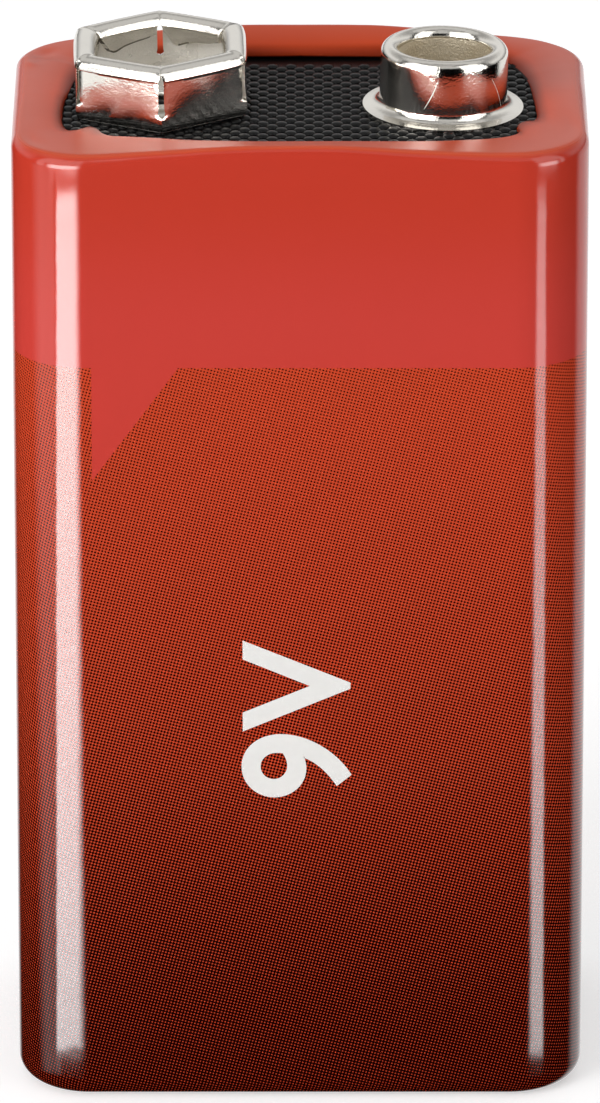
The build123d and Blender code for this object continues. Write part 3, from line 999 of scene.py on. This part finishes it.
def scratch_points(first, last):
    """A thin raised burr along the wall of the stud, as rows of four points."""
    points = []
    inner = STUD_RADIUS - SCRATCH_ROOT
    for k in range(SCRATCH_STEPS + 1):
        t = k / SCRATCH_STEPS
        bend = SCRATCH_BEND * math.sin(3.1 * t)
        azimuth = math.radians(first[0] + (last[0] - first[0]) * t + bend)
        height = first[1] + (last[1] - first[1]) * t
        thin = SCRATCH_HALF * math.sin(math.pi * min(t * 0.98 + 0.01, 1)) ** 0.5
        for across, proud in ((-1, -0.01), (0, SCRATCH_PROUD), (1, -0.01)):
            turn = azimuth + across * thin / STUD_RADIUS
            out = STUD_RADIUS + proud * SCRATCH_HALF
            points.append((out * math.sin(turn), -out * math.cos(turn), height))
        points.append((inner * math.sin(azimuth), -inner * math.cos(azimuth), height))
    return points


burr_points, burr_faces = [], []
for first, last in SCRATCHES:
    start = len(burr_points)
    burr_points += scratch_points(first, last)
    burr_faces += quads(SCRATCH_STEPS + 1, 4, start, around=True)
    end = start + 4 * SCRATCH_STEPS
    burr_faces += [tuple(range(start + 3, start - 1, -1)), tuple(range(end, end + 4))]
burr_points = tilted(np.array(burr_points), STUD_TILT, 0, STUD_PLACE)
scratches = new_piece("stud_scratches", burr_points, burr_faces, scratch_and_painted_light_nickel)
placed(scratches, "bright_nickel")


def half_slit(height):
    """Half the gap between two petals, by the height over the board."""
    eye = math.sqrt(max(SLIT_EYE_RADIUS**2 - (height - SLIT_EYE_Z) ** 2, 0))
    if height > SLIT_EYE_Z:
        return max(eye, SLIT_HALF)
    return eye


def petal_rows(inset):
    """Section of a petal from the rivet hole along the floor, up the panel and round the
    bead, as distance out and height, and the rows where the bead and the leg start."""
    panel = SOCKET_SIDE - PANEL_STEP - inset
    crease_z = BEAD_Z + BEAD_RADIUS * math.sin(math.radians(BEAD_START))
    upright = rounded_line(
        [(RIVET_HOLE, inset), (panel, inset), (panel - PANEL_LEAN, crease_z)],
        [SOCKET_BEND - inset],
        [12, 26],
        [8],
    )
    bead = (SOCKET_SIDE - BEAD_RADIUS, BEAD_Z)
    curl = arc_points(bead, BEAD_RADIUS - inset, BEAD_RADIUS - inset, BEAD_START, 180, 30)
    # The leg's own heights follow in petal_sheet, because they change along the petal
    leg = np.tile((curl[-1, 0], BEAD_Z), (LEG_ROWS, 1))
    rows = np.concatenate([upright, curl[1:], leg])
    return rows, len(upright), len(rows) - LEG_ROWS


def petal_sheet():
    """Points and faces of one petal, closed but for the edges that it shares with the
    petals beside it."""
    outside, bead_row, leg_row = petal_rows(0.0)
    inside = petal_rows(SHEET)[0]
    angles = np.linspace(-HALF_PETAL, HALF_PETAL, 21)
    legs = smooth(np.degrees(angles), CURL_LEG)
    gaps = []
    for k, (out, height) in enumerate(outside):
        gap = half_slit(height)
        if k >= bead_row:
            opening = min(max((leg_row - k) / OPENING_ROWS, 0), 1)
            closing = min((k - bead_row) / CLOSING_ROWS, 1) * opening
            gap = SLIT_HALF + (BEAD_GAP_HALF - SLIT_HALF) * closing
        gaps.append(gap if out > SLIT_START or k >= bead_row else 0.0)
    points = []
    for rows in (outside, inside):  # the seen side, then the side within the curl
        for row, ((out, height), gap, (_, outer_z)) in enumerate(zip(rows, gaps, outside)):
            reach = out - gap / math.sin(HALF_PETAL)
            straight = np.clip((out - RIVET_HOLE) / ROUND_SPAN, 0, 1)
            for angle, leg in zip(angles, legs):
                if row >= leg_row:
                    height = BEAD_Z - leg * (row - leg_row + 1) / LEG_ROWS
                side = (abs(angle) / HALF_PETAL) ** 4
                bulge = PANEL_BULGE * side * np.clip(outer_z / 1.2 - 0.2, 0, 1)
                if straight < 1:
                    radius = out * (1 - straight + straight / math.cos(angle))
                    points.append((radius * math.cos(angle), radius * math.sin(angle), height))
                else:
                    points.append((out - bulge, reach * math.tan(angle), height))
    rows, columns = len(outside), len(angles)
    layer = rows * columns
    faces = quads(rows, columns) + quads(rows, columns, layer, flip=True)
    for row in range(rows - 1):
        if max(gaps[row], gaps[row + 1]) > 0:
            low, high = row * columns, (row + 1) * columns
            faces.append((low, high, high + layer, low + layer))
            low, high = low + columns - 1, high + columns - 1
            faces.append((low, low + layer, high + layer, high))
    for first in range(columns - 1):
        last = first + layer - columns
        faces.append((first, first + layer, first + layer + 1, first + 1))
        faces.append((last, last + 1, last + layer + 1, last + layer))
    return np.array(points), faces


def petal_ring_tree(sizes):
    """Copies of one petal round the axis, joined where their floors meet."""
    tree, group = geometry_tree("petal_ring", sizes)
    spots = add_node(
        tree, "GeometryNodeMeshLine", {"Count": group.outputs["Count"], "Offset": (0, 0, 0)}
    )
    index = add_node(tree, "GeometryNodeInputIndex")
    turn = add_node(tree, MATH, {0: index, 1: group.outputs["Step"]}, operation="MULTIPLY")
    around = add_node(tree, "ShaderNodeCombineXYZ", {2: turn})
    copies = add_node(
        tree,
        "GeometryNodeInstanceOnPoints",
        {"Points": spots, "Instance": group.outputs["Geometry"], "Rotation": around},
    )
    real = add_node(tree, "GeometryNodeRealizeInstances", {0: copies})
    welded = add_node(
        tree, "GeometryNodeMergeByDistance", {"Geometry": real, "Distance": group.outputs["Weld"]}
    )
    return end_tree(tree, welded, nickel)


petal_points, petal_faces = petal_sheet()
petal_mesh = bpy.data.meshes.new("petal")
petal_mesh.from_pydata([tuple(p) for p in petal_points * MM], [], petal_faces)
petal_mesh.materials.append(nickel)
ring_sizes = {"Count": PETALS, "Step": 2 * math.pi / PETALS, "Weld": WELD * MM}
petal_ring = petal_ring_tree(ring_sizes)
socket = made_by(petal_ring, "snap_socket", ring_sizes, petal_mesh, EDGE_ROUNDING)
move_points(
    socket.data, lambda points: tilted(points, SOCKET_TILT, SOCKET_TURN, SOCKET_PLACE, SOCKET_PITCH)
)


def curl_place(middle):
    """Distance out over a petal, height over the bottom of its curl and height over the
    board, of a point."""
    offset = np.array(middle) - np.array(SOCKET_PLACE)
    azimuth = math.degrees(math.atan2(offset[1], offset[0])) - SOCKET_TURN
    angle = (azimuth + 30) % 60 - 30
    out = math.hypot(offset[0], offset[1]) * math.cos(math.radians(angle))
    bottom = BEAD_Z - float(smooth(angle, CURL_LEG))
    return out, offset[2] - bottom, offset[2]


def inside_socket(middle):
    """Whether a point is on the floor, or on a panel's inner face behind the curl."""
    out, over_bottom, height = curl_place(middle)
    behind = LEG_OUT + LEG_SKIN < out < SOCKET_SIDE - PANEL_SKIN and height < BEAD_Z
    on_floor = out < SOCKET_SIDE - FLOOR_INSET and height < FLOOR_BAND
    return behind or (on_floor and over_bottom < -UNDER_CURL)


def on_curl_edge_shadow(middle):
    """Whether a point is on the cut edge at the bottom of a petal's curl, where shadow is painted.
    """
    out, over_bottom, height = curl_place(middle)
    return abs(over_bottom) < CURL_SHADOW_BAND and out < LEG_OUT + LEG_SKIN and height > FLOOR_BAND


# Inside the socket the plate is a lighter, less metallic copy: painted light.
refinish(socket, scratch_and_painted_light_nickel, inside_socket)
# The cut edge at the bottom of each curl is painted dark as shadow.
refinish(socket, curl_edge_shadow, on_curl_edge_shadow)
placed(socket, "bright_nickel", "negative_terminal")


# Stage: white floor and world, and the lamps

world = bpy.data.worlds.new("studio")
bpy.context.scene.world = world
world.use_nodes = True
tree = world.node_tree
tree.nodes.clear()
AMBIENT = 0.565
WALL_LEVEL = 0.9
SKY_LEVEL = 0.7
TABLE_LEVEL = 1.0
# Where the wall, the ceiling and the white sheet start and are full, along their axes
WALL_EDGE = (-0.15, 0.2)
CEILING_EDGE = (0.6, 0.85)
SHEET_EDGE = (0.6, 0.8)
SHEET_SKEW = 0.35


def masked(tree, value, first, last, level):
    """Nothing where value is at first, rising to level where it is past last."""
    rise = add_node(tree, MAP_RANGE, {"Value": value, "From Min": first, "From Max": last}, **SOFT)
    return add_node(tree, MATH, {0: rise, 1: level}, operation="MULTIPLY")


rays = add_node(tree, "ShaderNodeLightPath")
direction = add_node(tree, "ShaderNodeTexCoord")
axes = add_node(tree, AXES, {0: direction.outputs["Generated"]})
sideways, backward, upward = axes.outputs
# Reflections see a grey wall behind the object that is dark at its foot and dimmer above,
# a grey ceiling, and the white sheet that it stands on only far behind it to the right.
wall_shade = add_node(tree, "ShaderNodeValToRGB", {0: upward})
wall_stops = [
    (0.0, 0.0), (0.04, WALL_LEVEL * 0.35), (0.26, WALL_LEVEL), (0.4, WALL_LEVEL),
    (0.6, WALL_LEVEL * 0.6), (0.72, 0.4),
]
set_stops(wall_shade, wall_stops)
wall = masked(tree, backward, *WALL_EDGE, wall_shade)
ceiling = masked(tree, upward, *CEILING_EDGE, SKY_LEVEL)
skew = {0: sideways, 1: SHEET_SKEW, 2: backward}
skewed = add_node(tree, MATH, skew, operation="MULTIPLY_ADD")
below = add_node(tree, MATH, {0: upward, 1: 0.0}, operation="LESS_THAN")
sheet_level = add_node(tree, MATH, {0: below, 1: TABLE_LEVEL}, operation="MULTIPLY")
sheet = masked(tree, skewed, *SHEET_EDGE, sheet_level)
brightest = add_node(tree, MATH, {0: wall, 1: ceiling}, operation="MAXIMUM")
mirrored = add_node(tree, MATH, {0: brightest, 1: sheet}, operation="MAXIMUM")
levels = {0: rays.outputs["Is Glossy Ray"], 2: AMBIENT, 3: mirrored.outputs[0]}
level = add_node(tree, MIX, levels, data_type="FLOAT")
direct = {0: rays.outputs["Is Camera Ray"], 1: rays.outputs["Is Transmission Ray"]}
seen = add_node(tree, MATH, direct, operation="MAXIMUM")
strength = add_node(tree, MIX, {0: seen, 2: level, 3: 1.0}, data_type="FLOAT")
background = add_node(tree, "ShaderNodeBackground", {"Color": (1, 1, 1, 1), "Strength": strength})
add_node(tree, "ShaderNodeOutputWorld", {"Surface": background})

# Floor: a white sheet that keeps a soft shadow. Its own glow brings the open sheet to
# white, and only the camera sees it.
FLOOR_HALF = 1.5
FLOOR_GREY = 0.85
FLOOR_GLOW = 0.45
floor_mesh = bpy.data.meshes.new("floor")
floor_signs = ((-1, -1), (1, -1), (1, 1), (-1, 1))
floor_corners = [(x * FLOOR_HALF, y * FLOOR_HALF, 0) for x, y in floor_signs]
floor_mesh.from_pydata(floor_corners, [], [(0, 1, 2, 3)])
floor = add_object("floor", floor_mesh)
floor_paint, floor_tree, floor_shader = surface(
    "white_paper_floor",
    **{"Base Color": (FLOOR_GREY,) * 3 + (1,), "Roughness": 0.9, "Emission Color": (1, 1, 1, 1)},
)
floor_rays = add_node(floor_tree, "ShaderNodeLightPath")
camera_glow = {0: floor_rays.outputs["Is Camera Ray"], 1: FLOOR_GLOW}
glow = add_node(floor_tree, MATH, camera_glow, operation="MULTIPLY")
floor_tree.links.new(glow.outputs[0], floor_shader.inputs["Emission Strength"])
floor_mesh.materials.append(floor_paint)
floor.visible_glossy = False

PANEL_CENTRE_Z = 45.0
PANEL_STEPS = 32


def light_panel(name, low, high, radiance, fades, distance):
    """A curved card round the top of the object that only reflections see. low and high
    give its elevation and its two azimuths there in degrees, counted from the camera's
    side towards +X. radiance is its level at low and high, and fades are the shares of it
    over which it fades out at the first and second azimuth, and at low and high."""
    side = PANEL_STEPS + 1
    share = np.linspace(0, 1, side)
    tilt, first, last = np.radians(np.array(low) + np.outer(share, np.array(high) - low)).T
    turn = first[:, None] + np.outer(last - first, share)
    out = distance * np.cos(tilt)[:, None]
    up = PANEL_CENTRE_Z * MM + distance * np.sin(tilt)[:, None]
    points = np.stack([out * np.sin(turn), -out * np.cos(turn), up + 0 * turn], axis=-1)
    mesh = bpy.data.meshes.new(name)
    mesh.from_pydata(points.reshape(-1, 3).tolist(), [], quads(side, side))
    layer = mesh.uv_layers.new(name="panel")
    corners = np.array([loop.vertex_index for loop in mesh.loops])
    spots = np.column_stack([corners % side, corners // side]) / PANEL_STEPS
    layer.data.foreach_set("uv", spots.ravel())
    material, tree = blank_material(name)
    place = add_node(tree, "ShaderNodeUVMap", uv_map="panel")
    axes = add_node(tree, AXES, {0: place})
    spread = {"Value": axes.outputs[1], "To Min": radiance[0], "To Max": radiance[1]}
    light = add_node(tree, MAP_RANGE, spread)
    edges = [(0, 0.0, fades[0]), (0, 1.0, 1 - fades[1]), (1, 0.0, fades[2]), (1, 1.0, 1 - fades[3])]
    for axis, edge, full in edges:
        light = masked(tree, axes.outputs[axis], edge, full, light)
    glow = add_node(tree, "ShaderNodeEmission", {"Color": (1, 1, 1, 1), "Strength": light})
    add_node(tree, "ShaderNodeOutputMaterial", {"Surface": glow})
    mesh.materials.append(material)
    card = add_object(name, mesh)
    card.visible_camera = False
    card.visible_diffuse = False
    card.visible_transmission = False
    card.visible_shadow = False


# Tall soft boxes left and right of the camera, each with a bright band over and under the
# table's edge, their dim spread above, the sky in front and the lit table at the left.
PANELS = [
    ("left_strip", (-32, -60, -9), (-17.6, -45, -9), (13.5, 16.5), (0.06, 0.3, 0.05, 0.04), 0.3),
    ("right_strip", (-32, 30, 59), (-17.6, 34, 50), (9.5, 4.6), (0.3, 0.15, 0.05, 0.04), 0.3),
    ("left_core", (-15.5, -64, -8), (16, -64, -8), (13, 13), (0.25, 0.2, 0.06, 0.3), 0.3),
    ("right_core", (-15.5, 33, 72), (16, 33, 72), (7.5, 7.5), (0.3, 0.25, 0.06, 0.3), 0.3),
    ("left_spread", (-12, -82, -7), (66, -82, -7), (2.4, 1.8), (0.1, 0.1, 0.05, 0.2), 0.34),
    ("right_spread", (-12, 32, 82), (66, 32, 82), (2.2, 1.7), (0.1, 0.1, 0.05, 0.2), 0.34),
    ("front_sky", (28, -82, 82), (85, -82, 82), (0.7, 0.5), (0.05, 0.05, 0.2, 0.1), 0.36),
    ("left_table", (-34, -94, -48), (-8, -94, -48), (1.2, 1.2), (0.5, 0.1, 0.05, 0.1), 0.37),
]
for panel in PANELS:
    light_panel(*panel)

# Key light: a big soft lamp at the left in front, in metres and watts
KEY_SIZE = (0.3, 0.4)
KEY_PLACE = (-0.4, -0.45, 0.25)
KEY_POWER = 2.06
key = bpy.data.lights.new("key", "AREA")
key.shape = "RECTANGLE"
key.size, key.size_y = KEY_SIZE
key.energy = KEY_POWER
key_lamp = add_object("key", key)
key_lamp.location = KEY_PLACE
aim = np.array((0, 0, AIM_Z * MM)) - np.array(key_lamp.location)
key_lamp.rotation_euler = (
    math.acos(-aim[2] / np.linalg.norm(aim)), 0, math.atan2(aim[1], aim[0]) - math.pi / 2
)
key_lamp.visible_glossy = False
